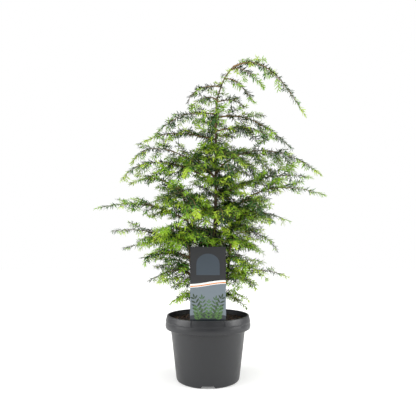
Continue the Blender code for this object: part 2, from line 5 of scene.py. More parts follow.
import bmesh
import bpy
import numpy as np
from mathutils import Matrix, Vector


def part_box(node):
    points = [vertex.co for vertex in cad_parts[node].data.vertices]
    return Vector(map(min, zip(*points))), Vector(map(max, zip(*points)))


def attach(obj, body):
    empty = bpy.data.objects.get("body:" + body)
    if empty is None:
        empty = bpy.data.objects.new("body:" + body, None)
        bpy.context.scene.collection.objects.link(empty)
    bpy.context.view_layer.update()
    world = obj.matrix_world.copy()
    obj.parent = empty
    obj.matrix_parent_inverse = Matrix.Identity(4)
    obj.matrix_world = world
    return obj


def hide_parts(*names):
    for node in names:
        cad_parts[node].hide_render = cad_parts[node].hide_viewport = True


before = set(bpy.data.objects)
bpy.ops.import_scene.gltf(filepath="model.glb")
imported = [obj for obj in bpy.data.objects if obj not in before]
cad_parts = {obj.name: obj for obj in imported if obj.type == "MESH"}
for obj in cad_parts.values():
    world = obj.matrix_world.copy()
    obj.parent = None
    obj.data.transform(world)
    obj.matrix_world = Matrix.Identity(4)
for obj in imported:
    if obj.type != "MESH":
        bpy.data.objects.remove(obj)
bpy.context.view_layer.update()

# Nursery pot. The real one is one shell of injection-moulded polypropylene,
# anthracite, about 2 mm thick, with a rolled rim, a plain stretch in the front
# of the rim's upper band, and a foot ring with three drain notches.
POT_HEIGHT = float(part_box("pot")[1][2])
RIM_RADIUS = 0.0850
LIP_RADIUS = 0.0815
MOUTH_RADIUS = 0.0785
WALL_TOP_RADIUS = 0.0742
BASE_RADIUS = 0.0622
RIM_BOTTOM = 0.0990
BAND_BOTTOM = 0.1140
BAND_STEP = 0.0014
FLOOR_TOP = 0.0085
FLOOR_UNDERSIDE = 0.0062
FOOT_INNER_RADIUS = 0.0520
BOSS_RADIUS = 0.0240
RECESS_WIDTH = 0.065
RECESS_CORNER = 0.0050
NOTCH_COUNT = 3
NOTCH_FLOOR_WIDTH = 0.029
NOTCH_TOP_WIDTH = 0.021
NOTCH_HEIGHT = 0.0050
FRONT = -math.pi / 2             # turn about Z that faces the camera
LONGEST_SIDE = 0.0035            # of the profile's polyline
POT_TURNS = 192                  # columns round it
MIX_DARK, MIX_LIGHT, MIX_COLOUR = 6, 7, 2    # colour sockets of the mix node: two in, one out


def linear_colour(code):
    """sRGB hex code as linear red, green, blue and alpha."""
    parts = [int(code[i:i + 2], 16) / 255 for i in (1, 3, 5)]
    return tuple(((part + 0.055) / 1.055) ** 2.4 if part > 0.04045 else part / 12.92
                 for part in parts) + (1.0,)


def add_node(material, kind, settings=None, **links):
    """Add a shader node to a material or the world, with its settings and its inputs' links."""
    made = material.node_tree.nodes.new(kind)
    for key, value in (settings or {}).items():
        if key in made.inputs:
            made.inputs[key].default_value = value
        else:
            setattr(made, key, value)
    for key, source in links.items():
        material.node_tree.links.new(source, made.inputs[key.replace("_", " ")])
    return made


def plain_material(name, code, roughness, ior=1.5, coat=0.0):
    """Principled material of one colour; returns it with its shader."""
    material = bpy.data.materials.new(name)
    material.use_nodes = True
    shader = material.node_tree.nodes["Principled BSDF"]
    shader.inputs["Base Color"].default_value = linear_colour(code)
    shader.inputs["Roughness"].default_value = roughness
    shader.inputs["IOR"].default_value = ior
    shader.inputs["Coat Weight"].default_value = coat
    return material, shader


def mesh_piece(name, points, faces, material, smooth=True, weld=False):
    """Mesh object from an array of points and one or more arrays of faces; weld merges poles."""
    faces = [faces] if isinstance(faces, np.ndarray) else faces
    corners = np.concatenate([group.ravel() for group in faces]).astype(np.int32)
    sizes = np.concatenate([np.full(len(group), group.shape[1]) for group in faces])
    mesh = bpy.data.meshes.new(name)
    mesh.vertices.add(len(points))
    mesh.vertices.foreach_set("co", np.ascontiguousarray(points, dtype=np.float32).ravel())
    mesh.loops.add(len(corners))
    mesh.loops.foreach_set("vertex_index", corners)
    mesh.polygons.add(len(sizes))
    mesh.polygons.foreach_set("loop_start", (np.cumsum(sizes) - sizes).astype(np.int32))
    mesh.polygons.foreach_set("use_smooth", np.full(len(sizes), smooth))
    mesh.update(calc_edges=True)
    if weld:
        shape = bmesh.new()
        shape.from_mesh(mesh)
        bmesh.ops.remove_doubles(shape, verts=shape.verts, dist=1e-6)
        shape.to_mesh(mesh)
        shape.free()
    mesh.materials.append(material)
    piece = bpy.data.objects.new(name, mesh)
    bpy.context.scene.collection.objects.link(piece)
    return piece


def grid_faces(rows, columns, wrap_columns):
    """Quads between neighbouring rows and columns of a grid of points, row by row."""
    across = columns if wrap_columns else columns - 1
    row, column = np.meshgrid(np.arange(rows - 1), np.arange(across), indexing="ij")
    nearer = row * columns + column
    further = row * columns + (column + 1) % columns
    return np.stack([nearer, further, further + columns, nearer + columns], axis=-1).reshape(-1, 4)


def rounded_profile(corners, arc_points=5):
    """Polyline through corners (radius, height, rounding): each corner becomes a parabola that
    leaves the sides at its rounding's distance."""
    corners = np.array(corners, dtype=float)
    out = [corners[0, :2]]
    for before, corner, after in zip(corners[:-2], corners[1:-1], corners[2:]):
        to_before, to_after = before[:2] - corner[:2], after[:2] - corner[:2]
        reach = min(corner[2], 0.45 * np.linalg.norm(to_before), 0.45 * np.linalg.norm(to_after))
        start = corner[:2] + to_before / np.linalg.norm(to_before) * reach
        end = corner[:2] + to_after / np.linalg.norm(to_after) * reach
        t = np.linspace(0, 1, arc_points)[:, None]
        out.extend((1 - t) ** 2 * start + 2 * t * (1 - t) * corner[:2] + t ** 2 * end)
    out.append(corners[-1, :2])
    return np.array(out)


def divided(profile, longest):
    """The polyline with extra points, so that no side is longer than a length."""
    out = [profile[:1]]
    for start, end in zip(profile[:-1], profile[1:]):
        count = max(1, math.ceil(np.linalg.norm(end - start) / longest))
        out.append(start + (end - start) * np.linspace(0, 1, count + 1)[1:, None])
    return np.concatenate(out)


def smooth_step(value, low, high):
    """0 below low, 1 above high, and an even S between them."""
    t = np.clip((value - low) / (high - low), 0, 1)
    return t * t * (3 - 2 * t)


def turn_from(turns, middle):
    """How far each turn about Z lies from a middle one, the short way round."""
    return np.abs(np.mod(turns - middle + math.pi, math.tau) - math.pi)[None, :]


def pot_points():
    """Grid of points: the pot's profile turned about Z. Where it crosses the front of the upper
    band the radius shrinks by the band's step, inside a rectangle with round lower corners; where
    it crosses a drain notch every height below the notch's trapezoid is lifted to it. Extra columns
    stand at the edges of the recess and the notches, which keeps them crisp."""
    profile = divided(rounded_profile([
        (0.0, FLOOR_TOP, 0), (BASE_RADIUS - 0.0012, FLOOR_TOP, 0.003),
        (WALL_TOP_RADIUS - 0.0020, RIM_BOTTOM + 0.0020, 0.002),
        (MOUTH_RADIUS, RIM_BOTTOM + 0.0062, 0.002), (MOUTH_RADIUS, POT_HEIGHT - 0.0018, 0.0006),
        (MOUTH_RADIUS - 0.0003, POT_HEIGHT, 0.0007), (LIP_RADIUS, POT_HEIGHT, 0.0012),
        (RIM_RADIUS - BAND_STEP + 0.0010, BAND_BOTTOM + 0.0004, 0.0007),
        (RIM_RADIUS - BAND_STEP, BAND_BOTTOM - 0.0002, 0.0003),
        (RIM_RADIUS, BAND_BOTTOM - 0.0066, 0.0030), (RIM_RADIUS - 0.0006, RIM_BOTTOM + 0.0020, 0.0022),
        (RIM_RADIUS - 0.0045, RIM_BOTTOM, 0.0022), (WALL_TOP_RADIUS, RIM_BOTTOM, 0.0012),
        (BASE_RADIUS, 0.0, 0.0040), (FOOT_INNER_RADIUS, 0.0, 0.0006),
        (FOOT_INNER_RADIUS, FLOOR_UNDERSIDE, 0.0010), (BOSS_RADIUS, FLOOR_UNDERSIDE, 0.0010),
        (BOSS_RADIUS, 0.0, 0.0006), (0.0, 0.0, 0)]), LONGEST_SIDE)
    half_recess = RECESS_WIDTH / 2 / RIM_RADIUS
    edges = [FRONT + sign * half_recess + shift
             for sign in (-1, 1) for shift in (-0.012, -0.004, 0.0, 0.004, 0.012)]
    notches = [FRONT + math.tau * index / NOTCH_COUNT for index in range(NOTCH_COUNT)]
    edges += [middle + sign * width / 2 / BASE_RADIUS + shift
              for middle in notches for width in (NOTCH_FLOOR_WIDTH, NOTCH_TOP_WIDTH)
              for sign in (-1, 1) for shift in (-0.006, 0.006)]
    turns = np.unique(np.round(np.concatenate([np.linspace(0, math.tau, POT_TURNS + 1)[:-1],
                                               np.mod(edges, math.tau)]), 5))
    radius = np.repeat(profile[:, :1], len(turns), axis=1)
    height = np.repeat(profile[:, 1:], len(turns), axis=1)
    from_middle = turn_from(turns, FRONT) * RIM_RADIUS
    corner_x = np.maximum(from_middle - (RECESS_WIDTH / 2 - RECESS_CORNER), 0)
    corner_z = np.maximum(BAND_BOTTOM + RECESS_CORNER - height, 0)
    depth_in = RECESS_CORNER - np.hypot(corner_x, corner_z)
    outside = radius > LIP_RADIUS - 0.0030
    mask = smooth_step(depth_in, -0.0006, 0.0010) * outside * (height > BAND_BOTTOM - 0.0004)
    radius = radius - BAND_STEP * mask
    slope = (NOTCH_FLOOR_WIDTH - NOTCH_TOP_WIDTH) / 2
    for middle in notches:
        from_middle = turn_from(turns, middle) * BASE_RADIUS
        lift = NOTCH_HEIGHT * np.clip((NOTCH_FLOOR_WIDTH / 2 - from_middle) / slope, 0, 1)
        height = np.where((radius > FOOT_INNER_RADIUS - 0.0005) & (height < lift), lift, height)
    points = np.stack([radius * np.cos(turns), radius * np.sin(turns), height], axis=-1)
    return points.reshape(-1, 3), len(profile), len(turns)


def mottle(material, shader, dark, light, tone, relief, strength, depth):
    """Two colours mixed by one pattern, over a bump that follows the same or another."""
    tint = add_node(material, "ShaderNodeMix", {"data_type": "RGBA"}, Factor=tone)
    tint.inputs[MIX_DARK].default_value = linear_colour(dark)
    tint.inputs[MIX_LIGHT].default_value = linear_colour(light)
    bump = add_node(material, "ShaderNodeBump", {"Strength": strength, "Distance": depth},
                    Height=relief)
    material.node_tree.links.new(tint.outputs[MIX_COLOUR], shader.inputs["Base Color"])
    material.node_tree.links.new(bump.outputs["Normal"], shader.inputs["Normal"])


def moulded_polypropylene(grain_mm, scuff_mm):
    """Injection-moulded polypropylene: a soft sheen over the mould's faint eroded grain, drawn as
    coarse as it needs to show, and pale scuffs where the wall has rubbed on its neighbours."""
    material, shader = plain_material("anthracite_polypropylene", "#1b1c1f", 0.40, ior=1.49)
    place = add_node(material, "ShaderNodeTexCoord").outputs["Object"]
    grain = add_node(material, "ShaderNodeTexNoise", {"Scale": 1000 / grain_mm, "Detail": 2.0},
                     Vector=place).outputs["Fac"]
    scuffs = add_node(material, "ShaderNodeTexNoise",
                      {"Scale": 1000 / scuff_mm, "Detail": 6.0, "Roughness": 0.65},
                      Vector=place).outputs["Fac"]
    wear = add_node(material, "ShaderNodeMapRange",
                    {"From Min": 0.35, "From Max": 0.75, "To Min": 0.34, "To Max": 0.50}, Value=scuffs)
    material.node_tree.links.new(wear.outputs["Result"], shader.inputs["Roughness"])
    mottle(material, shader, "#17181a", "#212226", scuffs, grain, strength=0.12, depth=0.0003)
    return material


pot_grid, pot_rows, pot_columns = pot_points()
pot = mesh_piece("nursery_pot", pot_grid, grid_faces(pot_rows, pot_columns, wrap_columns=True)[:, ::-1],
                 moulded_polypropylene(grain_mm=0.9, scuff_mm=14.0), weld=True)
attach(pot, "root")
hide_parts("pot")

# Potting soil. Moist peat with composted bark: a dark, uneven surface a finger's
# breadth under the rim, with loose crumbs of peat and reddish chips of bark on it.
SOIL_TOP = float(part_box("soil")[1][2])
SOIL_RADIUS = MOUTH_RADIUS - 0.0004
SOIL_DEPTH = 0.012
SOIL_RISE, SOIL_STRETCH = 0.0022, 1.6         # the waves seldom meet, so their sum is stretched
SOIL_WAVES = ((0.034, 0.45), (0.013, 0.3), (0.0055, 0.18), (0.0026, 0.10))    # length and share
WAVES_OF_EACH = 5
SOIL_RINGS, SOIL_TURNS = 67, 180
CHIP_COUNT = 1500


def soil_height(x, y):
    """Height of the soil: waves of a few sizes in random directions, summed."""
    rng = np.random.default_rng(5)
    total = np.zeros_like(x)
    for wavelength, share in SOIL_WAVES:
        for _ in range(WAVES_OF_EACH):
            way, phase = rng.uniform(0, math.tau, 2)
            along = x * math.cos(way) + y * math.sin(way)
            total += share / WAVES_OF_EACH * np.sin(math.tau * along / wavelength + phase)
    return SOIL_TOP + SOIL_RISE * total * SOIL_STRETCH


def soil_material(name, dark, light, grain_mm):
    """Crumbly matt soil: two browns mixed by grain size, and a bump of the same grain."""
    material, shader = plain_material(name, dark, 0.95)
    place = add_node(material, "ShaderNodeTexCoord").outputs["Object"]
    grain = add_node(material, "ShaderNodeTexNoise",
                     {"Scale": 1000 / grain_mm, "Detail": 8.0, "Roughness": 0.7},
                     Vector=place).outputs["Fac"]
    mottle(material, shader, dark, light, grain, grain, strength=0.6, depth=0.001)
    return material


def soil_points():
    """Grid of points: rings of the soil's surface, then one ring at its foot and one shut to a
    point in the middle of its underside."""
    rings = np.concatenate([[0.0], np.linspace(0.0012, SOIL_RADIUS, SOIL_RINGS - 1)])
    radius, turn = np.meshgrid(rings, np.linspace(0, math.tau, SOIL_TURNS + 1)[:-1], indexing="ij")
    x, y = radius * np.cos(turn), radius * np.sin(turn)
    surface = np.stack([x, y, soil_height(x, y)], axis=-1).reshape(-1, 3)
    foot = np.stack([x[-1], y[-1], np.full(SOIL_TURNS, SOIL_TOP - SOIL_DEPTH)], axis=-1)
    return np.concatenate([surface, foot, foot * (0, 0, 1)])


soil = mesh_piece("potting_soil", soil_points(), grid_faces(SOIL_RINGS + 2, SOIL_TURNS, True)[:, ::-1],
                  soil_material("moist_peat", "#120d0a", "#2e2119", grain_mm=2.2), weld=True)
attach(soil, "root")
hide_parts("soil")


def chips(count, shortest, longest, seed):
    """Loose chips: octahedra squeezed to flat crumbs, turned at random, lying on the soil."""
    rng = np.random.default_rng(seed)
    base = np.array([(1, 0, 0), (-1, 0, 0), (0, 1, 0), (0, -1, 0), (0, 0, 1), (0, 0, -1)], dtype=float)
    faces = np.array([(0, 2, 4), (2, 1, 4), (1, 3, 4), (3, 0, 4),
                      (2, 0, 5), (1, 2, 5), (3, 1, 5), (0, 3, 5)])
    size = rng.uniform(shortest, longest, (count, 1, 1)) / 2
    shape = base[None] * size * np.stack([np.ones(count), rng.uniform(0.45, 0.9, count),
                                          rng.uniform(0.2, 0.5, count)], axis=-1)[:, None, :]
    shape = shape * rng.uniform(0.75, 1.25, (count, 6, 1))
    turn, tip = rng.uniform(0, math.tau, count), rng.normal(0, 0.35, count)
    cos, sin, nod = np.cos(turn)[:, None], np.sin(turn)[:, None], np.tan(tip)[:, None]
    x = shape[..., 0] * cos - shape[..., 1] * sin
    y = shape[..., 0] * sin + shape[..., 1] * cos
    z = shape[..., 2] + shape[..., 0] * nod
    radius = np.sqrt(rng.uniform(0, 1, count)) * (SOIL_RADIUS - longest)
    angle = rng.uniform(0, math.tau, count)
    at_x, at_y = radius * np.cos(angle), radius * np.sin(angle)
    at_z = soil_height(at_x, at_y) + size[:, 0, 0] * 0.2
    points = np.stack([x + at_x[:, None], y + at_y[:, None], z + at_z[:, None]], axis=-1)
    return points.reshape(-1, 3), (faces[None] + 6 * np.arange(count)[:, None, None]).reshape(-1, 3)


peat = mesh_piece("peat_crumbs", *chips(CHIP_COUNT, shortest=0.0012, longest=0.0038, seed=11),
                  soil_material("peat_crumb", "#17100d", "#34261d", grain_mm=1.2), smooth=False)
bark = mesh_piece("bark_chips", *chips(CHIP_COUNT // 4, shortest=0.0020, longest=0.0060, seed=12),
                  soil_material("composted_bark", "#38261b", "#5f4532", grain_mm=1.6), smooth=False)
for crumbs in (peat, bark):
    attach(crumbs, "root")

# Plant label. A thin printed plastic card on a tongue, pushed into the soil at
# the front. Its print is a plain design: a dark head with a round slate panel,
# a pale band with an orange line, and leaf shapes on a soft ground.
LABEL_LOW, LABEL_HIGH = (np.array(corner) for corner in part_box("label"))
LABEL_FACE = LABEL_LOW[1]
LABEL_HALF = LABEL_HIGH[0]
LABEL_TOP = LABEL_HIGH[2]
LABEL_SHOULDER = 0.1185          # the card's straight foot, where its tongue begins
INK = 0.00004                    # each printed layer stands this much proud of the last
BAND_HEIGHT = LABEL_SHOULDER + (LABEL_TOP - LABEL_SHOULDER) * 0.52
BAND_SLANT = 0.0035
PANEL_HALF = 0.0215
PANEL_FOOT, PANEL_SHOULDER = LABEL_TOP - 0.052, LABEL_TOP - 0.032
PANEL_ARCH = 0.9                 # height of its round top, as a share of a half circle's
SPRIG_FOOT = LABEL_SHOULDER + 0.006
LEAF_PAIRS = 6
PRINT_POINTS = 40                # along each edge of a printed strip


def printed_card(name, code, roughness=0.38):
    """Offset ink on plastic card: flat colour under a thin clear varnish, which shines softly."""
    return plain_material(name, code, roughness, coat=0.15)[0]


def printed_shape(name, plates, layer, material):
    """Thin closed plates on the card's front, each between a lower and an upper edge in X and Z:
    four rows of points (front low, front high, back high, back low) joined round, ends shut. Each
    plate stands a hair proud of the one before, so that they may overlap."""
    points, around, ends = [], [], []
    for index, (lower, upper) in enumerate(plates):
        front = LABEL_FACE - INK * layer - index * INK / 20
        back = LABEL_FACE - INK * (layer - 1) + 0.00002
        base, count = 4 * len(lower) * index, len(lower)
        points += [np.column_stack([edge[:, 0], np.full(count, y), edge[:, 1]])
                   for edge, y in ((lower, front), (upper, front), (upper, back), (lower, back))]
        around.append(grid_faces(5, count, False) % (4 * count) + base)
        ends.append(np.array([(0, count, 2 * count, 3 * count),
                              (4 * count - 1, 3 * count - 1, 2 * count - 1, count - 1)]) + base)
    piece = mesh_piece(name, np.concatenate(points), np.concatenate(around + ends), material,
                       smooth=False)
    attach(piece, "root")


def leaf_edges(foot_x, foot_z, length, width, lean):
    """Both edges of a pointed leaf: half width = width * sin(pi t) ** 0.8, leaning from upright."""
    t = np.linspace(0.004, 0.996, 25)
    half = width * np.sin(math.pi * t) ** 0.8
    along = t * length
    cos, sin = math.cos(lean), math.sin(lean)
    return [np.column_stack([foot_x + side * half * cos + along * sin,
                             foot_z - side * half * sin + along * cos]) for side in (1, -1)]


sweep = np.linspace(-LABEL_HALF, LABEL_HALF, PRINT_POINTS)
slant = BAND_SLANT * np.sin((sweep / LABEL_HALF) * math.pi / 2)


def across_card(low, high):
    """Lower and upper edge of a strip over the whole card, at the heights that are given."""
    return (np.column_stack([sweep, np.broadcast_to(low, sweep.shape)]),
            np.column_stack([sweep, np.broadcast_to(high, sweep.shape)]))


def sprig(foot_x, length, lean, leaf_length):
    """Leaflets in pairs up a leaning stem, shorter towards its tip, with one at the end."""
    plates = []
    for pair in range(LEAF_PAIRS):
        share = 0.10 + 0.80 * pair / (LEAF_PAIRS - 1)
        x = foot_x + share * length * math.sin(lean)
        z = SPRIG_FOOT + share * length * math.cos(lean)
        size = leaf_length * (1 - 0.45 * share)
        plates += [leaf_edges(x, z, size, size * 0.16, lean + side * 0.85) for side in (-1, 1)]
    stem = length * 0.94
    plates.append(leaf_edges(foot_x + stem * math.sin(lean), SPRIG_FOOT + stem * math.cos(lean),
                             leaf_length * 0.6, leaf_length * 0.10, lean))
    return plates


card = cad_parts["label"]
card.material_slots[0].material = printed_card("charcoal_card", "#1c1d20", roughness=0.42)

printed_shape("label_ground", [across_card(LABEL_SHOULDER, BAND_HEIGHT + slant)], 1,
              printed_card("mist_blue_ink", "#6a757d"))
dome = np.linspace(-PANEL_HALF, PANEL_HALF, PRINT_POINTS)
panel_top = PANEL_SHOULDER + PANEL_ARCH * np.sqrt(PANEL_HALF ** 2 - dome ** 2)
printed_shape("label_panel", [(np.column_stack([dome, np.full(PRINT_POINTS, PANEL_FOOT)]),
                               np.column_stack([dome, panel_top]))], 1,
              printed_card("slate_blue_ink", "#35404a"))
printed_shape("label_band", [across_card(BAND_HEIGHT - 0.0035 + slant, BAND_HEIGHT + 0.0030 + slant)],
              2, printed_card("white_ink", "#eceeec"))
printed_shape("label_line", [across_card(BAND_HEIGHT - 0.0022 + slant, BAND_HEIGHT - 0.0004 + slant)],
              3, printed_card("orange_ink", "#d97a1c"))
hill = LABEL_SHOULDER + 0.017 + 0.004 * np.cos(sweep * 60)
printed_shape("label_hill", [across_card(LABEL_SHOULDER, hill)], 2,
              printed_card("dusk_blue_ink", "#222a31"))

# Rows of sprigs from back to front: foot, length and lean of each sprig, and the row's green.
SPRIG_ROWS = (
    (((-0.012, 0.046, -0.30), (0.012, 0.046, 0.30)), "#24381f"),
    (((-0.006, 0.044, -0.12), (0.008, 0.042, 0.16)), "#3a5a2e"),
    (((-0.016, 0.026, -0.28), (0.001, 0.036, 0.02), (0.017, 0.026, 0.25)), "#48702f"))
for index, (places, code) in enumerate(SPRIG_ROWS):
    leaf_length = 0.0150 - 0.0025 * index
    plates = [plate for place in places for plate in sprig(*place, leaf_length)]
    printed_shape(f"label_sprigs_{index + 1}", plates, 3 + 2 * index,
                  printed_card(f"leaf_green_ink_{index + 1}", code))

# Trunk and side stems. Young wood about 10 mm thick at the foot, with thin grey-brown
# bark that is finely fissured lengthwise; two side stems fork off just above the soil.
TRUNK_WAY = np.array([(0.006, 0.0, SOIL_TOP), (0.0068, 0.0, 0.145), (0.010, 0.001, 0.200),
                      (0.013, 0.001, 0.270), (0.0160, 0.0, 0.357), (0.0160, -0.001, 0.461),
                      (0.0180, 0.0, 0.560), (0.0290, -0.001, 0.599), (0.0395, -0.002, 0.620),
                      (0.0520, -0.004, 0.635)])
LEFT_WAY = np.array([(0.0035, -0.0035, 0.140), (-0.014, -0.013, 0.163), (-0.029, -0.023, 0.200),
                     (-0.036, -0.029, 0.255), (-0.039, -0.030, 0.305), (-0.046, -0.030, 0.350),
                     (-0.052, -0.029, 0.373)])
RIGHT_WAY = np.array([(0.010, 0.003, 0.142), (0.024, 0.008, 0.160), (0.037, 0.014, 0.190),
                      (0.044, 0.017, 0.240), (0.048, 0.018, 0.300), (0.052, 0.017, 0.345),
                      (0.055, 0.016, 0.362)])
TRUNK_RADII = (0.0088, 0.0052, 0.0011)       # at its flared foot, above that, and at its tip
STEM_RADII = (0.0032, 0.0032, 0.0014)
FLARE_HEIGHT = 0.028
BARK_RIDGES = ((3, 0.07), (5, 0.030), (9, 0.016), (13, 0.009))    # ridges round, length of a wave
STEM_RELIEF = 0.10
UPRIGHT_REFERENCE = np.array([0.0, 1.0, 0.0])


def way_points(way, heights):
    """Points of a smooth path through waypoints at given heights: a cubic between each two
    neighbours whose slopes come from the waypoints on both sides."""
    heights = np.clip(np.atleast_1d(heights), way[0, 2], way[-1, 2])
    index = np.clip(np.searchsorted(way[:, 2], heights, side="left") - 1, 0, len(way) - 2)
    before, start, end = way[np.maximum(index - 1, 0)], way[index], way[index + 1]
    after = way[np.minimum(index + 2, len(way) - 1)]
    rise = (end[:, 2] - start[:, 2])[:, None]
    t = (heights[:, None] - start[:, 2:]) / rise
    slope_in = (end - before) * rise / (end[:, 2:] - before[:, 2:])
    slope_out = (after - start) * rise / (after[:, 2:] - start[:, 2:])
    return (start * (2 * t ** 3 - 3 * t ** 2 + 1) + end * (3 * t ** 2 - 2 * t ** 3)
            + slope_in * (t ** 3 - 2 * t ** 2 + t) + slope_out * (t ** 3 - t ** 2))


def unit(vectors):
    """Each vector divided by its length."""
    return vectors / np.maximum(np.linalg.norm(vectors, axis=-1, keepdims=True), 1e-9)


def tube_rings(centres, radii, sides, reference, relief=0.0, seed=0):
    """Rings of points round n paths of k points, (n, k, sides, 3): centre + radius * (cos, sin)
    in the plane across the path, where the reference is any direction that no path follows. Relief
    adds ridges that run lengthwise and wander: sines of the turn and the length, multiplied."""
    ahead = unit(np.gradient(centres, axis=1))
    across = unit(np.cross(np.broadcast_to(reference, ahead.shape), ahead))
    up = np.cross(ahead, across)
    turn = np.linspace(0, math.tau, sides, endpoint=False)
    radius = np.repeat(radii[..., None], sides, axis=-1)
    if relief:
        rng = np.random.default_rng(seed)
        length = np.linspace(0, 1, centres.shape[1])[None, :, None] * np.linalg.norm(
            np.diff(centres, axis=1), axis=-1).sum(axis=1)[:, None, None]
        wave = np.zeros_like(radius)
        for ridges, span in BARK_RIDGES:
            for _ in range(3):
                phase, drift = rng.uniform(0, math.tau, 2)
                wave += (np.sin(ridges * turn + math.tau * length / span + phase)
                         * np.sin(math.tau * length / (span * 1.7) + drift) / 5)
        radius = radius * (1 + relief * wave)
    outward = np.cos(turn)[:, None] * across[:, :, None] + np.sin(turn)[:, None] * up[:, :, None]
    return centres[:, :, None] + radius[..., None] * outward


def closed_tubes(centres, radii, sides, reference, relief=0.0, seed=0):
    """Points and faces of tubes along n paths, each shut by a fan of triangles at both ends."""
    paths, rings = centres.shape[:2]
    points = tube_rings(centres, radii, sides, reference, relief, seed).reshape(-1, 3)
    base = (np.arange(paths) * rings * sides)[:, None, None]
    quads = (grid_faces(rings, sides, True)[None] + base).reshape(-1, 4)
    turn = np.arange(sides)
    foot = np.column_stack([(turn + 1) % sides, turn])[None] + base
    tip = np.column_stack([turn, (turn + 1) % sides])[None] + base + (rings - 1) * sides
    hub = len(points) + np.arange(paths)[:, None, None] + np.zeros((1, sides, 1), dtype=int)
    caps = np.concatenate([np.concatenate([hub, foot], axis=-1),
                           np.concatenate([hub + paths, tip], axis=-1)]).reshape(-1, 3)
    return np.concatenate([points, centres[:, 0], centres[:, -1]]), [quads, caps]


def young_bark(name, dark, light, flake_mm):
    """Thin young bark: pale dry flakes, longer than wide, over a darker inner bark; quite dull."""
    material, shader = plain_material(name, dark, 0.85)
    place = add_node(material, "ShaderNodeTexCoord").outputs["Object"]
    stretched = add_node(material, "ShaderNodeMapping", {"Scale": (1.0, 1.0, 0.28)}, Vector=place)
    flakes = add_node(material, "ShaderNodeTexNoise",
                      {"Scale": 1000 / flake_mm, "Detail": 7.0, "Roughness": 0.62},
                      Vector=stretched.outputs["Vector"]).outputs["Fac"]
    parted = add_node(material, "ShaderNodeMapRange", {"From Min": 0.36, "From Max": 0.64}, Value=flakes)
    mottle(material, shader, dark, light, parted.outputs["Result"], flakes, strength=0.55, depth=0.0006)
    return material


trunk_bark = young_bark("grey_brown_bark", "#43352a", "#7d6a54", flake_mm=3.0)


def stem_piece(name, way, radii, columns, rows, node, seed):
    """Bark round one stem's path: an even taper from foot to tip, and a flare that dies away over
    the first few centimetres."""
    at_foot, above, at_tip = radii
    heights = np.linspace(way[0, 2], way[-1, 2], rows)
    share = (heights - way[0, 2]) / (way[-1, 2] - way[0, 2])
    taper = above + (at_tip - above) * share
    flare = (at_foot - above) * np.clip(1 - (heights - way[0, 2]) / FLARE_HEIGHT, 0, 1) ** 2
    tube = closed_tubes(way_points(way, heights)[None], (taper + flare)[None], columns,
                        UPRIGHT_REFERENCE, STEM_RELIEF, seed)
    piece = mesh_piece(name, *tube, trunk_bark)
    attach(piece, "root")
    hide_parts(node)


stem_piece("trunk_bark", TRUNK_WAY, TRUNK_RADII, columns=36, rows=420, node="trunk", seed=1)
stem_piece("left_stem_bark", LEFT_WAY, STEM_RADII, columns=24, rows=200, node="stem_left", seed=2)
stem_piece("right_stem_bark", RIGHT_WAY, STEM_RADII, columns=24, rows=200, node="stem_right", seed=3)

# Boughs. Slender wood under thin red-brown bark. Each limb grows from the trunk or a side
# stem at its own height, leaves it over a small collar, rises, and nods over at its end.

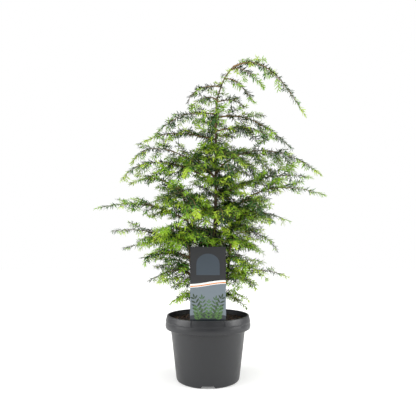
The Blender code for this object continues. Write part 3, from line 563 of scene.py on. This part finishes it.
# Parent, height on it, azimuth, level reach, height of the tip, rise and droop in degrees,
# bare share, longest side twig and seed of each limb.
LIMBS = {
    "leader": ("trunk", 0.635, -14, 0.144, 0.518, 22, 60, 0.0, 0.028, 1),
    "crown_right": ("trunk", 0.626, 23, 0.085, 0.606, 50, 40, 0.0, 0.022, 2),
    "crook_right": ("trunk", 0.611, -17, 0.064, 0.553, -5, 45, 0.0, 0.018, 3),
    "crown_left": ("trunk", 0.594, 187, 0.070, 0.556, 8, 72, 0.0, 0.026, 4),
    "high_right": ("trunk", 0.562, -30, 0.059, 0.540, 0, 60, 0.0, 0.022, 5),
    "high_left": ("trunk", 0.566, 160, 0.061, 0.553, 45, 60, 0.0, 0.022, 6),
    "left_1": ("trunk", 0.535, 175, 0.128, 0.494, 15, 50, 0.0, 0.045, 7),
    "left_2": ("trunk", 0.482, 190, 0.146, 0.470, 10, 30, 0.0, 0.052, 8),
    "left_3": ("trunk", 0.402, 166, 0.188, 0.442, 42, 62, 0.17, 0.085, 9),
    "left_4": ("trunk", 0.392, 192, 0.190, 0.388, 30, 58, 0.16, 0.080, 10),
    "left_5": ("left", 0.362, 153, 0.133, 0.395, 45, 18, 0.0, 0.070, 11),
    "left_6": ("left", 0.312, 171, 0.192, 0.339, 28, 12, 0.15, 0.066, 12),
    "left_7": ("left", 0.265, 174, 0.156, 0.292, 20, 8, 0.0, 0.060, 13),
    "left_8": ("trunk", 0.243, 170, 0.194, 0.259, 42, 12, 0.22, 0.062, 14),
    "left_9": ("left", 0.238, 206, 0.092, 0.226, 30, 75, 0.0, 0.048, 15),
    "left_10": ("left", 0.196, 160, 0.101, 0.191, 55, 25, 0.0, 0.048, 16),
    "left_11": ("left", 0.166, 182, 0.060, 0.148, -5, 45, 0.0, 0.022, 17),
    "right_1": ("trunk", 0.528, 4, 0.160, 0.466, 16, 42, 0.0, 0.048, 18),
    "right_2": ("trunk", 0.500, -25, 0.126, 0.466, 5, 38, 0.0, 0.050, 19),
    "right_3": ("trunk", 0.412, -3, 0.213, 0.405, 55, 45, 0.17, 0.088, 20),
    "right_4": ("trunk", 0.362, 15, 0.221, 0.415, 28, 6, 0.18, 0.082, 21),
    "right_5": ("right", 0.340, -16, 0.186, 0.361, 42, 22, 0.14, 0.082, 22),
    "right_6": ("right", 0.312, -22, 0.122, 0.310, 48, 24, 0.0, 0.070, 23),
    "right_7": ("right", 0.276, -12, 0.096, 0.253, 55, 62, 0.0, 0.060, 24),
    "right_8": ("right", 0.212, 4, 0.128, 0.197, -4, 28, 0.14, 0.040, 25),
    "right_9": ("right", 0.164, 16, 0.058, 0.133, 10, 40, 0.0, 0.024, 26),
    "front_1": ("trunk", 0.508, 262, 0.090, 0.476, 20, 55, 0.0, 0.044, 27),
    "front_2": ("trunk", 0.446, 281, 0.120, 0.374, 25, 65, 0.0, 0.066, 28),
    "front_3": ("trunk", 0.398, 240, 0.120, 0.384, 35, 55, 0.0, 0.072, 29),
    "front_4": ("left", 0.336, 284, 0.106, 0.309, 35, 62, 0.0, 0.066, 30),
    "front_5": ("right", 0.326, 290, 0.128, 0.319, 35, 55, 0.0, 0.072, 31),
    "front_6": ("trunk", 0.304, 275, 0.136, 0.297, 35, 60, 0.15, 0.070, 32),
    "front_7": ("left", 0.268, 246, 0.100, 0.282, 45, 45, 0.0, 0.062, 33),
    "front_8": ("right", 0.246, 272, 0.112, 0.258, 45, 45, 0.0, 0.066, 34),
    "back_1": ("trunk", 0.520, 96, 0.110, 0.486, 20, 45, 0.0, 0.048, 35),
    "back_2": ("trunk", 0.452, 46, 0.148, 0.416, 25, 45, 0.0, 0.068, 36),
    "back_3": ("trunk", 0.432, 122, 0.165, 0.424, 35, 50, 0.0, 0.076, 37),
    "back_4": ("trunk", 0.380, 82, 0.188, 0.386, 38, 45, 0.16, 0.084, 38),
    "back_5": ("left", 0.352, 112, 0.155, 0.350, 38, 42, 0.0, 0.076, 39),
    "back_6": ("right", 0.300, 52, 0.165, 0.322, 35, 30, 0.0, 0.078, 40),
    "back_7": ("trunk", 0.272, 100, 0.168, 0.278, 35, 30, 0.15, 0.076, 41),
    "back_8": ("right", 0.192, 52, 0.118, 0.166, 15, 35, 0.0, 0.056, 42),
    "back_9": ("left", 0.205, 136, 0.105, 0.196, 22, 35, 0.0, 0.054, 43),
}
REACH, BARE_SHARE, SEED = 3, 7, 9             # columns of the table
WAYS = {"trunk": TRUNK_WAY, "left": LEFT_WAY, "right": RIGHT_WAY}
HANDLE_SHARE = 0.4
BOUGH_RADIUS = 0.0012            # of the thinnest at its foot; longer ones are thicker
BOUGH_THICKENING = 0.022
BOUGH_TIP_RADIUS = 0.00040
COLLAR_SWELL, COLLAR_REACH = 0.35, 0.006      # where a bough leaves its stem
BOUGH_RINGS, BOUGH_SIDES = 48, 10
BOUGH_RELIEF = 0.07
LEVEL_REFERENCE = np.array([0.0, 0.0, 1.0])


def curve_points(handles, t):
    """Points of cubic curves: handles (..., 4, 3) weighed by Bernstein's polynomials of t."""
    t = np.asarray(t, dtype=float)[..., None]
    h = handles[..., None, :, :] if np.ndim(t) > 1 else handles
    return ((1 - t) ** 3 * h[..., 0, :] + 3 * (1 - t) ** 2 * t * h[..., 1, :]
            + 3 * (1 - t) * t ** 2 * h[..., 2, :] + t ** 3 * h[..., 3, :])


def curve_heading(handles, t):
    """Unit tangent of cubic curves at t."""
    t = np.asarray(t, dtype=float)[..., None]
    h = handles[..., None, :, :] if np.ndim(t) > 1 else handles
    return unit((1 - t) ** 2 * (h[..., 1, :] - h[..., 0, :])
                + 2 * (1 - t) * t * (h[..., 2, :] - h[..., 1, :])
                + t ** 2 * (h[..., 3, :] - h[..., 2, :]))


def limb_handles(parent, height, azimuth, reach, tip, rise, droop):
    """A limb's curve: it leaves its parent's path at its rise, and arrives at its droop."""
    start = way_points(WAYS[parent], height)[0]
    turn, up, down = np.radians([azimuth, rise, droop])
    outward = np.array([math.cos(turn), math.sin(turn), 0.0])
    end = np.array([start[0], start[1], tip]) + outward * reach
    handle = np.linalg.norm(end - start) * HANDLE_SHARE
    leaving = outward * math.cos(up) + np.array([0, 0, math.sin(up)])
    arriving = outward * math.cos(down) - np.array([0, 0, math.sin(down)])
    return np.array([start, start + leaving * handle, end - arriving * handle, end])


def bough_radii(along, reach):
    """Radii at shares of each bough's way: foot * (1 - t) ** 1.4, a thin tip, and a collar that
    swells the foot and dies away within millimetres."""
    foot = (BOUGH_RADIUS + BOUGH_THICKENING * reach ** 2)[:, None]
    radii = foot * (1 - along) ** 1.4 + BOUGH_TIP_RADIUS * along
    return radii * (1 + COLLAR_SWELL * np.exp(-along * reach[:, None] / COLLAR_REACH))


limb_curves = np.array([limb_handles(*row[:BARE_SHARE]) for row in LIMBS.values()])
limb_reach = np.array([row[REACH] for row in LIMBS.values()])
bough_t = np.linspace(0, 1, BOUGH_RINGS)
bough_centres = curve_points(limb_curves, np.broadcast_to(bough_t, (len(LIMBS), BOUGH_RINGS)))
bough_tubes = closed_tubes(bough_centres, bough_radii(bough_t, limb_reach), BOUGH_SIDES,
                           LEVEL_REFERENCE, BOUGH_RELIEF, seed=4)
boughs = mesh_piece("boughs", *bough_tubes,
                    young_bark("red_brown_bark", "#604a30", "#9a7c52", flake_mm=2.0))
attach(boughs, "root")
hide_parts(*[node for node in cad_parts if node.startswith("bough_")])

# Twigs. Thin yellow-brown wood. Side twigs stand on each limb by the rule of the source,
# with shorter ones between them and finer ones on both, in sprays that arch over under
# their own weight. Short shoots grow straight from the stems and fill the crown's middle.
TWIG_SPACING = 0.031
TWIG_ANGLE, TWIG_SAG = math.radians(50), 0.16
SHORTEST_TWIG = 0.012
SEAT = 0.05                      # the share of a limb without a bare stretch where twigs begin
FINE_SPACING = 0.0125
FINE_ANGLE, FINE_SAG = math.radians(46), 0.14
SHORTEST_WITH_FINE = 0.027
GOLDEN_ANGLE = math.radians(137.5)
LABEL_CLEAR_HALF, LABEL_CLEAR_FRONT, LABEL_CLEAR_ABOVE = 0.046, -0.044, 0.004
POT_CLEAR_ROUND, POT_CLEAR_ABOVE = 0.010, 0.014
TWIG_RINGS, TWIG_SIDES = 5, 3
SIDE_RADIUS, SIDE_THICKENING, FINE_RADIUS, TWIG_TIP_RADIUS = 0.00055, 0.004, 0.00040, 0.00025

# Stem, height of the first and the last root, longest shoot, spacing and seed of each stretch.
SHOOTS = ((TRUNK_WAY, 0.165, 0.490, 0.115, 0.0042, 701),
          (TRUNK_WAY, 0.490, 0.630, 0.022, 0.0042, 702),
          (LEFT_WAY, 0.155, 0.370, 0.112, 0.0033, 703),
          (RIGHT_WAY, 0.155, 0.360, 0.094, 0.0036, 704))


def nodding_curve(root, leaving, size, drop, bend=0.0):
    """A twig's curve: it sets out straight, its far end sinks by the drop and moves by the bend."""
    return np.array([root, root + leaving * size / 3, root + leaving * size * 2 / 3 + drop / 3,
                     root + leaving * size + drop + bend])


def twig_curve(parent, share, side, size, tilt, angle, sag):
    """A twig's curve: it leaves its parent at an angle, in a plane tilted about the parent's
    heading, and its far half sinks by a share of its length and bends forward."""
    ahead = curve_heading(parent, share)
    level = unit(np.cross([0.0, 0.0, 1.0], ahead)) * side
    lifted = level * math.cos(tilt) + np.cross(ahead, level) * math.sin(tilt)
    leaving = ahead * math.cos(angle) + lifted * math.sin(angle)
    return nodding_curve(curve_points(parent, share), leaving, size,
                         drop=np.array([0.0, 0.0, -sag * size]), bend=ahead * size * 0.10)


def side_twigs(curve, row):
    """Side twigs of one limb: the source's draws first, then shorter twigs of a second draw."""
    bare, spread, seed = row[BARE_SHARE:]
    start = max(bare, SEAT)
    rng, finer = random.Random(seed), random.Random(seed + 100)
    along = curve_points(curve, np.linspace(start, 1, 30))
    count = max(2, round(np.linalg.norm(along[-1] - along[0]) / TWIG_SPACING))
    twigs = []
    for index in range(count):
        share = start + (1 - start) * (0.03 + 0.64 * (index + rng.uniform(0.1, 0.8)) / count)
        side = 1 if (index + seed) % 2 else -1
        size = (spread * (1 - share) + SHORTEST_TWIG) * rng.uniform(0.8, 1.1)
        tilt = rng.uniform(-0.85, 0.85)
        twigs.append((share, side, size, tilt))
        # Two draws that only the source has a use for. Without them the next twig would differ.
        rng.uniform(0.65, 1.15)
        rng.choice((1, -1))
    extra = max(2, round(count * (0.5 + 14 * spread)))
    for index in range(extra):
        share = start + (1 - start) * (0.02 + 0.94 * (index + finer.uniform(0.1, 0.9)) / extra)
        side = -1 if (index + seed) % 2 else 1
        size = (spread * (1 - share) * 0.9 + SHORTEST_TWIG * 0.5) * finer.uniform(0.55, 0.95)
        twigs.append((share, side, size, finer.uniform(-0.75, 0.75)))
    return [(twig_curve(curve, *twig, TWIG_ANGLE, TWIG_SAG), twig[2]) for twig in twigs]


def shoots(way, low, high, longest, spacing, seed):
    """Short shoots straight from a stem: each turns on from the last by the golden angle, leaves at
    a slant, and nods. Their length swells in the middle of the stretch."""
    rng = random.Random(seed)
    count = round((high - low) / spacing)
    grown = []
    for index in range(count):
        share = (index + rng.uniform(0.1, 0.9)) / count
        root = way_points(way, low + (high - low) * share)[0]
        turn = index * GOLDEN_ANGLE + rng.uniform(-0.3, 0.3)
        rise = rng.uniform(-0.15, 0.75)
        size = longest * (0.45 + 0.55 * math.sin(math.pi * share)) * rng.uniform(0.6, 1.0)
        leaving = np.array([math.cos(turn) * math.cos(rise), math.sin(turn) * math.cos(rise),
                            math.sin(rise)])
        drop = np.array([0.0, 0.0, -rng.uniform(0.15, 0.45) * size])
        grown.append((nodding_curve(root, leaving, size, drop), size))
    return grown


def with_fine_twigs(curve, size, rng):
    """A twig and, if it is long enough, finer ones on alternate sides of it, shorter towards its
    tip: the curve, length and order of each."""
    twigs = [(curve, size, 1)]
    count = int(size / FINE_SPACING) if size > SHORTEST_WITH_FINE else 0
    for index in range(count):
        share = 0.16 + 0.70 * (index + rng.uniform(0.1, 0.9)) / count
        length = (0.46 * size * (1 - share) + 0.006) * rng.uniform(0.75, 1.15)
        side = 1 if index % 2 else -1
        tilt = rng.uniform(-0.45, 0.45)
        twigs.append((twig_curve(curve, share, side, length, tilt, FINE_ANGLE, FINE_SAG), length, 2))
    return twigs


def stays_clear(curve):
    """Whether a twig's end keeps off the label and the pot's rim."""
    x, y, z = curve[3]
    on_label = (abs(x) < LABEL_CLEAR_HALF and y < LABEL_CLEAR_FRONT
                and z < LABEL_TOP + LABEL_CLEAR_ABOVE)
    on_rim = math.hypot(x, y) < RIM_RADIUS + POT_CLEAR_ROUND and z < POT_HEIGHT + POT_CLEAR_ABOVE
    return not (on_label or on_rim)


grown_twigs = []
for curve, row in zip(limb_curves, LIMBS.values()):
    rng = random.Random(row[SEED] + 500)
    for twig in side_twigs(curve, row):
        grown_twigs += with_fine_twigs(*twig, rng)
rng = random.Random(900)
for row in SHOOTS:
    for shoot in shoots(*row):
        grown_twigs += with_fine_twigs(*shoot, rng)
twig_curves, twig_lengths, twig_orders = (
    np.array(column) for column in zip(*[twig for twig in grown_twigs if stays_clear(twig[0])]))

twig_t = np.broadcast_to(np.linspace(0, 1, TWIG_RINGS), (len(twig_curves), TWIG_RINGS))
side_radius = SIDE_RADIUS + SIDE_THICKENING * twig_lengths
foot_radius = np.where(twig_orders == 1, side_radius, FINE_RADIUS)[:, None]
twig_tubes = closed_tubes(curve_points(twig_curves, twig_t),
                          foot_radius * (1 - twig_t) + TWIG_TIP_RADIUS * twig_t,
                          TWIG_SIDES, LEVEL_REFERENCE)
twigs = mesh_piece("twigs", *twig_tubes, young_bark("twig_bark", "#6b5a34", "#93804f", flake_mm=1.5))
foliage_nodes = [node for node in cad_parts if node.startswith("foliage_")]
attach(twigs, "root")
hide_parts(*foliage_nodes)

# Needles. Flat and blunt, up to 11 mm long, in two ranks with a few short ones lying along
# the top of the twig. Each is one small closed leaf with a keel. This season's growth at
# the twigs' ends is lime green. Needles are darker towards the trunk, partly the older
# needles' own darker green and partly painted shade inside the crown.
NEEDLE_LENGTH = 0.0106
NEEDLE_WIDTH = 0.0019
NEEDLES_PER_METRE = 980
LIMB_NEEDLES_PER_METRE = 1550
FEWEST_NEEDLES = 6
ON_TOP_SHARE, ON_TOP_LENGTH = 0.15, 0.62
LEAN_AT_FOOT, LEAN_LOST = 68, 26              # degrees from the twig's heading, less at its tip
NEW_GROWTH_SHARE, NEW_GROWTH_LENGTH = 0.74, (0.010, 0.024)
FRESH_EDGE = 1.5                 # fresh green reaches this many times as far as the new growth
PALE_SHARE = 0.40
# Middle and reach of the crown: needles nearer this middle get darker greens, partly the older needles'
# own darker green and partly painted shade inside the crown.
CROWN_MIDDLE_X, CROWN_REACH = 0.012, 0.16
NEEDLE_GREENS = {"deep": "#1c3414", "dark": "#284a1a", "leaf": "#376222", "fresh": "#528426",
                 "lime": "#8bb42e", "pale_lime": "#adc93c"}
FRESH, LIME, PALE_LIME = 3, 4, 5              # places of the newest greens in that row
LARGEST_PIECE = 24000            # needles, which come to 192,000 triangles
# A needle 1 long and 1 wide: its foot, two shoulders, two corners at the blunt end, its keel.
LEAF = np.array([(0, 0, 0), (0.32, -0.5, 0.03), (0.32, 0.5, 0.03), (0.97, -0.22, 0.0),
                 (0.97, 0.22, 0.0), (0.55, 0, -0.16)])
LEAF_FACES = np.array([(0, 1, 2), (2, 1, 3), (2, 3, 4), (0, 5, 1), (1, 5, 3), (3, 5, 4), (4, 5, 2),
                       (2, 5, 0)])


def needle_places():
    """Path, order and share of every needle: even steps along all twigs and the ends of the limbs,
    each with its own small random shift."""
    rng = np.random.default_rng(21)
    curves = np.concatenate([twig_curves, limb_curves])
    limb_lengths = np.linalg.norm(limb_curves[:, 3] - limb_curves[:, 0], axis=1)
    lengths = np.concatenate([twig_lengths, limb_lengths])
    starts = np.concatenate([np.full(len(twig_curves), 0.06),
                             [max(row[BARE_SHARE] + 0.03, 0.12) for row in LIMBS.values()]])
    density = np.concatenate([np.full(len(twig_curves), NEEDLES_PER_METRE),
                              np.full(len(limb_curves), LIMB_NEEDLES_PER_METRE)])
    counts = np.maximum(FEWEST_NEEDLES, (lengths * (1 - starts) * density).astype(int))
    owner = np.repeat(np.arange(len(curves)), counts)
    order = np.arange(len(owner)) - np.repeat(np.cumsum(counts) - counts, counts)
    step = order + rng.uniform(0.1, 0.9, len(owner))
    share = starts[owner] + (1 - starts[owner]) * step / counts[owner]
    return rng, curves, lengths, owner, order, share


def needles():
    """Points and green of every needle. Its foot is on the twig; it points sideways, leaning
    forward more and more towards the tip, and lifted a little out of the spray's plane. Needles
    are shorter towards both ends of a twig, and sink by the square of the way along them."""
    rng, curves, lengths, owner, order, share = needle_places()
    count = len(owner)
    foot = curve_points(curves[owner], share[:, None])[:, 0]
    ahead = curve_heading(curves[owner], share[:, None])[:, 0]
    level = unit(np.cross(np.array([0.0, 0.0, 1.0]), ahead))
    over = np.cross(ahead, level)
    on_top = rng.uniform(0, 1, count) < ON_TOP_SHARE
    rank = np.where(order % 2 == 0, 1.0, -1.0)
    spread = np.where(rng.uniform(0, 1, count) < 0.5, 0.30, 0.95)
    lift = np.where(on_top, rng.uniform(0.7, 1.5, count), rng.normal(0.05, spread, count))
    lean = np.radians(LEAN_AT_FOOT - LEAN_LOST * share ** 3) + rng.normal(0, 0.14, count)
    lean = np.where(on_top, lean * 0.7, lean)
    sideways = (rank * np.cos(lift))[:, None] * level + np.sin(lift)[:, None] * over
    along = np.cos(lean)[:, None] * ahead + np.sin(lean)[:, None] * sideways
    normal = unit(np.cross(along, np.cross(over, along)) + rng.normal(0, 0.18, (count, 3)))
    across = unit(np.cross(normal, along))
    normal = np.cross(along, across)
    from_tip = (1 - share) * lengths[owner]
    tapered = 1 - 0.45 * np.exp(-from_tip / 0.004) - 0.25 * (1 - share) ** 6
    size = (NEEDLE_LENGTH * tapered * rng.uniform(0.78, 1.08, count)
            * np.where(on_top, ON_TOP_LENGTH, 1.0))
    width = NEEDLE_WIDTH * rng.uniform(0.85, 1.12, count)
    points = (foot[:, None] + (LEAF[None, :, :1] * size[:, None, None]) * along[:, None]
              + (LEAF[None, :, 1:2] * width[:, None, None]) * across[:, None]
              + (LEAF[None, :, 2:] * width[:, None, None]) * normal[:, None])
    points[..., 2] -= (LEAF[None, :, 0] ** 2) * (0.0008 + 0.0012 * rng.uniform(0, 1, count))[:, None]
    return points, needle_greens(rng, len(curves), owner, foot, from_tip)


def needle_greens(rng, paths, owner, foot, from_tip):
    """Number of each needle's green. It runs from dark inside the crown to fresh outside: partly
    the older inner needles' own darker green, partly painted shade of the crown's interior. Each
    twig also has its own random tone, and its last centimetres, where it carries new growth, are lime."""
    twig_tone = rng.normal(0, 0.55, paths)[owner]
    # Painted shade mixed with real age: greens darken towards the crown's middle, because older needles
    # are darker and because the crown's interior lies in shade.
    outward = np.hypot(foot[:, 0] - CROWN_MIDDLE_X, foot[:, 1]) / CROWN_REACH
    tone = 0.4 + 1.5 * outward + twig_tone + rng.normal(0, 0.20, len(owner))
    green = np.clip(np.floor(tone), 0, FRESH)
    new_growth = (rng.uniform(*NEW_GROWTH_LENGTH, paths)
                  * (rng.uniform(0, 1, paths) < NEW_GROWTH_SHARE))[owner]
    is_pale = rng.uniform(0, 1, paths)[owner] < PALE_SHARE
    green = np.where(from_tip < new_growth * FRESH_EDGE, FRESH, green)
    return np.where(from_tip < new_growth, np.where(is_pale, PALE_LIME, LIME), green).astype(int)


def waxy_needle(name, code):
    """A living conifer needle: green flesh under a thin dull wax, which gives it only a weak, broad
    sheen and keeps its colour full."""
    material, shader = plain_material(name, code, 0.55, ior=1.45)
    shader.inputs["Specular IOR Level"].default_value = 0.28
    return material


needle_points, needle_green = needles()
for number, (name, code) in enumerate(NEEDLE_GREENS.items()):
    chosen = np.flatnonzero(needle_green == number)
    green = waxy_needle(f"needle_{name}_green", code)
    pieces = max(1, math.ceil(len(chosen) / LARGEST_PIECE))
    for index, members in enumerate(np.array_split(chosen, pieces)):
        faces = LEAF_FACES[None] + len(LEAF) * np.arange(len(members))[:, None, None]
        piece = mesh_piece(f"needles_{name}_{index + 1}", needle_points[members].reshape(-1, 3),
                           faces.reshape(-1, 3), green, smooth=False)
        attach(piece, "root")
        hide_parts(*foliage_nodes)

# Studio: a wide white floor, a white surround, one big soft light from each side and
# one from above, and the camera at the height of the crown's foot.
floor_finish, floor_shader = plain_material("white_studio_floor", "#f6f6f5", 0.7)
floor_shader.inputs["Emission Color"].default_value = (1, 1, 1, 1)
# The floor glows a little, and more so further off, so that it ends as white as the surround.
from_pot = add_node(floor_finish, "ShaderNodeVectorMath", {"operation": "LENGTH"},
                    Vector=add_node(floor_finish, "ShaderNodeTexCoord").outputs["Object"])
glow = add_node(floor_finish, "ShaderNodeMapRange",
                {"From Min": 0.3, "From Max": 1.6, "To Min": 0.22, "To Max": 0.62},
                Value=from_pot.outputs["Value"])
floor_finish.node_tree.links.new(glow.outputs["Result"], floor_shader.inputs["Emission Strength"])
floor = mesh_piece("floor", np.array([(-4, -3, 0), (4, -3, 0), (4, 5, 0), (-4, 5, 0)]),
                   np.array([(0, 1, 2, 3)]), floor_finish, smooth=False)

world = bpy.data.worlds.new("white_surround")
bpy.context.scene.world = world
world.use_nodes = True
surround = world.node_tree.nodes["Background"]
surround.inputs["Color"].default_value = (1, 1, 1, 1)
# The camera sees it pure white, and its light on the plant is weaker.
strength = add_node(world, "ShaderNodeMapRange", {"To Min": 0.55, "To Max": 1.0},
                    Value=add_node(world, "ShaderNodeLightPath").outputs["Is Camera Ray"])
world.node_tree.links.new(strength.outputs["Result"], surround.inputs["Strength"])

# Name, place, turn in degrees, width in metres and power in watts of each light.
for name, place, turn, size, power in (
        ("soft_light_left", (-1.5, -0.4, 0.9), (64, 0, -76), 1.3, 26),
        ("soft_light_right", (1.6, -0.3, 0.8), (66, 0, 80), 1.1, 22),
        ("soft_light_top", (0.1, -0.3, 1.9), (9, 0, 0), 1.4, 15)):
    light = bpy.data.lights.new(name, "AREA")
    light.shape = "DISK"
    light.size = size
    light.energy = power
    lamp = bpy.data.objects.new(name, light)
    lamp.location = place
    lamp.rotation_euler = np.radians(turn)
    bpy.context.scene.collection.objects.link(lamp)

bpy.context.scene.view_settings.view_transform = "Standard"
camera_data = bpy.data.cameras.new("camera")
camera_data.lens = 32.29
camera_data.sensor_width = 36
camera_data.shift_y = 0.056
camera = bpy.data.objects.new("camera", camera_data)
camera.location = (0.0, -0.76, 0.245)
camera.rotation_euler = (math.radians(93.5), 0.0, 0.0)
bpy.context.scene.collection.objects.link(camera)
bpy.context.scene.camera = camera
